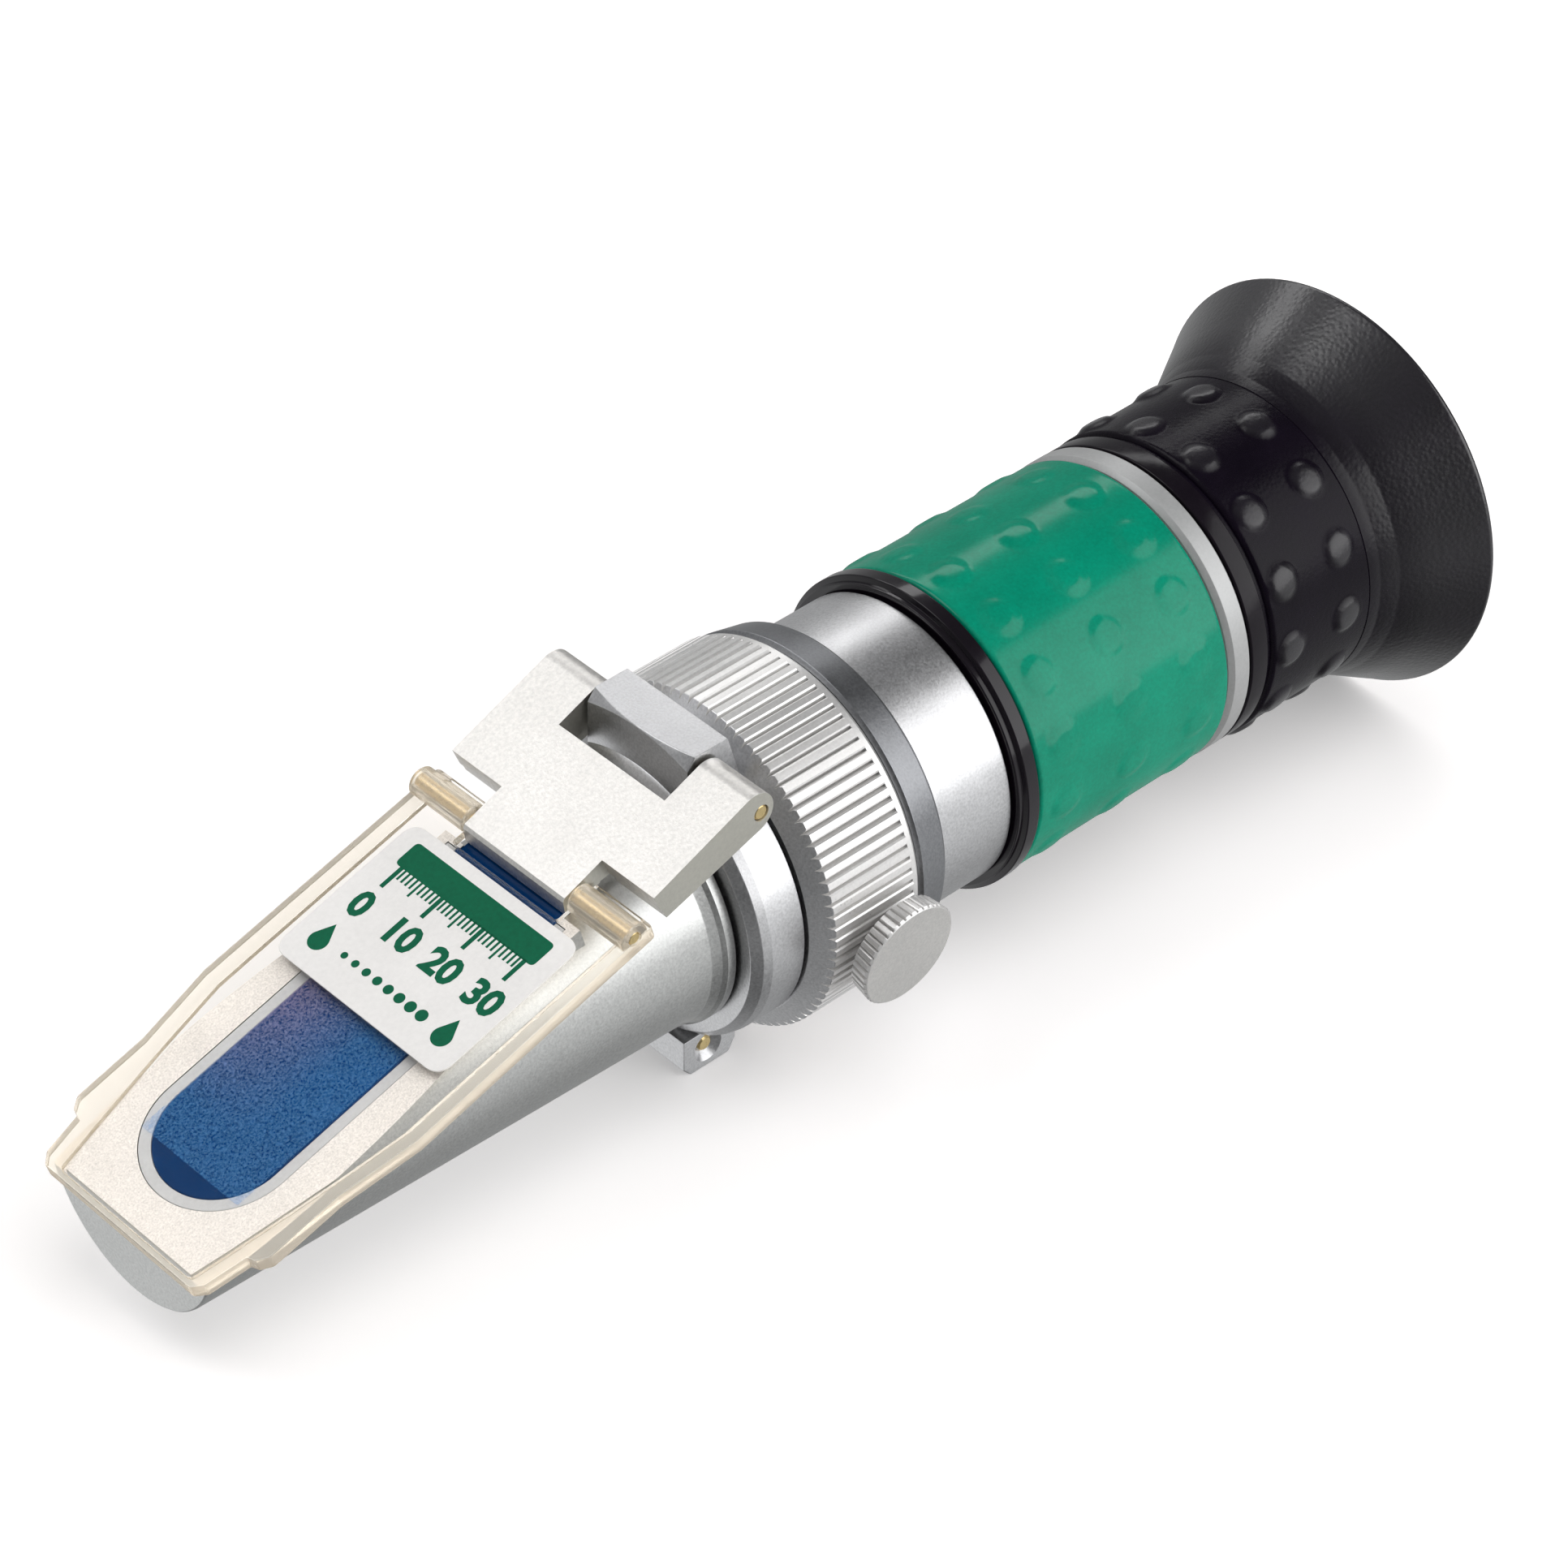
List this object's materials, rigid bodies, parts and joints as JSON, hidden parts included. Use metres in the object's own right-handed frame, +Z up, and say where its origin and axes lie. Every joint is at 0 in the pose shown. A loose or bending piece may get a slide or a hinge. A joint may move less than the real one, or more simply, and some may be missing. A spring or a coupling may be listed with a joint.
{
  "type": "refractometer",
  "caption": "Handheld refractometer: hinged clear plate over a sloping prism, knurled compensator ring with thumb knob, rubber-gripped tube, and focusing eyepiece with flared eyecup.",
  "frame": {"origin": "centre of the flat foot under the lower hinge lug", "axes": "+X along the optical axis from the prism nose to the eyecup, +Z up out of the hinged plate's side, the thumb knob on the -Y side"},
  "size_m": [0.1394, 0.04, 0.04],
  "materials": {
    "satin_metal": "bead-blasted satin, clear anodised",
    "knurl_metal": "bright machined knurl",
    "dark_metal": "dark satin anodised",
    "bracket_metal": "fine-grained silver paint on a casting",
    "brass": "turned, slightly dulled",
    "clear_plastic": "clear moulded, polished",
    "prism_glass": "polished face, reads blue from above",
    "lens_glass": "polished",
    "sealant": "matt cured sealant",
    "label_film": "printed film",
    "green_rubber": "glossy, soft domed bumps",
    "black_plastic": "glossy",
    "black_rubber": "leather-grained, soft sheen",
    "black_metal": "matt black against stray light"
  },
  "bodies": {
    "barrel": {"prism_housing": "satin_metal", "main_prism": "prism_glass", "prism_seal": "sealant", "hinge_collar": "satin_metal", "cover_pin": "brass", "lug_pin": "brass", "main_tube": "satin_metal", "nose_o_ring": "black_rubber", "shoulder_ring": "dark_metal", "grip_front_ring": "black_plastic", "grip_sleeve": "green_rubber", "grip_rear_ring": "satin_metal", "objective_cell": "black_metal", "objective_lens": "lens_glass", "objective_retainer": "black_metal", "reticle_cell": "black_metal", "reticle_disc": "lens_glass", "reticle_retainer": "black_metal", "eyepiece_sleeve": "black_metal"},
    "compensator": {"knurled_ring": "knurl_metal", "compensator_cell": "black_metal", "compensator_prism": "lens_glass", "compensator_retainer": "black_metal", "drive_pin": "brass"},
    "lock_knob": {"thumb_knob": "knurl_metal", "knob_screw": "satin_metal"},
    "cover": {"hinge_bracket": "bracket_metal", "plate_pin": "brass"},
    "plate": {"daylight_plate": "clear_plastic", "plate_label": "label_film"},
    "focus": {"focus_ring": "black_rubber", "eyecup": "black_rubber"},
    "ocular": {"ocular_cell": "black_metal", "guide_pin": "brass", "field_lens": "lens_glass", "ocular_spacer": "black_metal", "eye_lens": "lens_glass", "ocular_retainer": "black_metal"}
  },
  "joints": [
    {"name": "cover_hinge", "type": "hinge", "parent": "barrel", "child": "cover", "pos_m": [-0.00035, 0, 0.03205], "axis": [0, 1, 0], "range_deg": [0, 110]},
    {"name": "plate_hinge", "type": "hinge", "parent": "cover", "child": "plate", "pos_m": [-0.01468, 0, 0.02765], "axis": [0, 1, 0], "range_deg": [0, 40]},
    {"name": "compensator_turn", "type": "hinge", "parent": "barrel", "child": "compensator", "pos_m": [0.009, 0, 0.0167], "axis": [1, 0, 0], "range_deg": [-70, 70]},
    {"name": "knob_turn", "type": "hinge", "parent": "compensator", "child": "lock_knob", "pos_m": [0.01037, 0, 0.0167], "axis": [0, -0.9947, -0.1028], "range_deg": [0, 180]},
    {"name": "focus_turn", "type": "hinge", "parent": "barrel", "child": "focus", "pos_m": [0.064, 0, 0.0167], "axis": [1, 0, 0], "range_deg": [-75, 75]},
    {"name": "ocular_slide", "type": "slide", "parent": "barrel", "child": "ocular", "axis": [1, 0, 0], "range_m": [-0.0015, 0.0015]}
  ],
  "couplings": [
    {"joint": "ocular_slide", "follows": "focus_turn", "m_per_rad": 0.001145}
  ]
}
